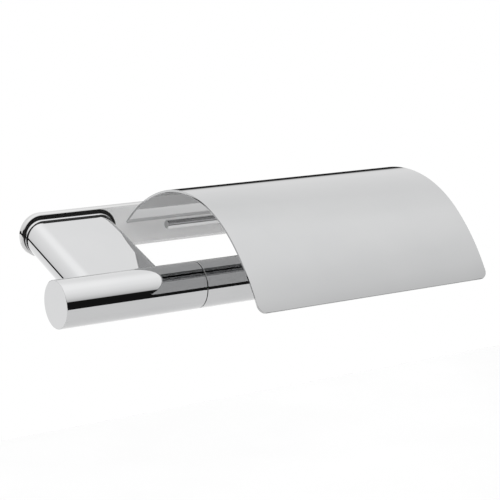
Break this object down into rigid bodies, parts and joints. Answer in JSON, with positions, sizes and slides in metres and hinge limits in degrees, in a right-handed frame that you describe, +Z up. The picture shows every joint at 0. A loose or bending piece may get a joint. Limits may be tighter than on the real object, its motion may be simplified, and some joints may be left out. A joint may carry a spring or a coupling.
{
  "type": "toilet paper holder",
  "caption": "Wall-mounted toilet paper holder: round bar on a sloping arm with a turning roll tube and a hinged curved cover.",
  "frame": {"origin": "middle of the plate's back face, on the wall", "axes": "+X along the bar towards its open end, +Y into the wall, +Z up"},
  "size_m": [0.2188, 0.13, 0.0596],
  "materials": {
    "plate_chrome": "chrome plate on cast brass, polished edge and satin face",
    "arm_chrome": "polished chrome plate on cast brass",
    "bar_chrome": "polished chrome plate on turned brass",
    "tube_chrome": "polished chrome plate on brass tube",
    "cover_chrome": "polished chrome plate on bent sheet",
    "hinge_chrome": "polished chrome plate",
    "strip_steel": "zinc-plated pressed steel",
    "spindle_steel": "drawn stainless rod",
    "screw_steel": "stainless screws",
    "peg_brass": "bare machined brass",
    "nylon": "natural nylon",
    "seat_black": "black glass-filled nylon",
    "pad_rubber": "soft grey silicone"
  },
  "bodies": {
    "holder": {"wall_strip": "strip_steel", "arm_peg": "peg_brass", "peg_screws": "screw_steel", "wall_plate": "plate_chrome", "seat_ring": "seat_black", "arm": "arm_chrome", "arm_grub_screws": "screw_steel", "bar_hub": "bar_chrome", "hub_end_cap": "bar_chrome", "spindle": "spindle_steel", "spindle_grub_screw": "screw_steel", "thrust_washer": "nylon", "end_washer": "screw_steel", "end_screw": "screw_steel", "hinge_block": "hinge_chrome", "block_screws": "screw_steel", "hinge_pin": "hinge_chrome", "pin_grub_screw": "screw_steel", "stop_pads": "pad_rubber"},
    "tube": {"roll_tube": "tube_chrome", "left_bush": "nylon", "right_bush": "nylon", "tube_end_cap": "tube_chrome"},
    "cover": {"cover_sheet": "cover_chrome", "left_knuckle": "hinge_chrome", "right_knuckle": "hinge_chrome", "knuckle_liners": "nylon"}
  },
  "joints": [
    {"name": "tube_spin", "type": "hinge", "parent": "holder", "child": "tube", "pos_m": [0.025, -0.066, -0.0212], "axis": [1, 0, 0], "continuous": true},
    {"name": "cover_lift", "type": "hinge", "parent": "holder", "child": "cover", "pos_m": [0.03265, -0.0103, -0.0006], "axis": [-1, 0, 0], "range_deg": [0, 52]}
  ]
}
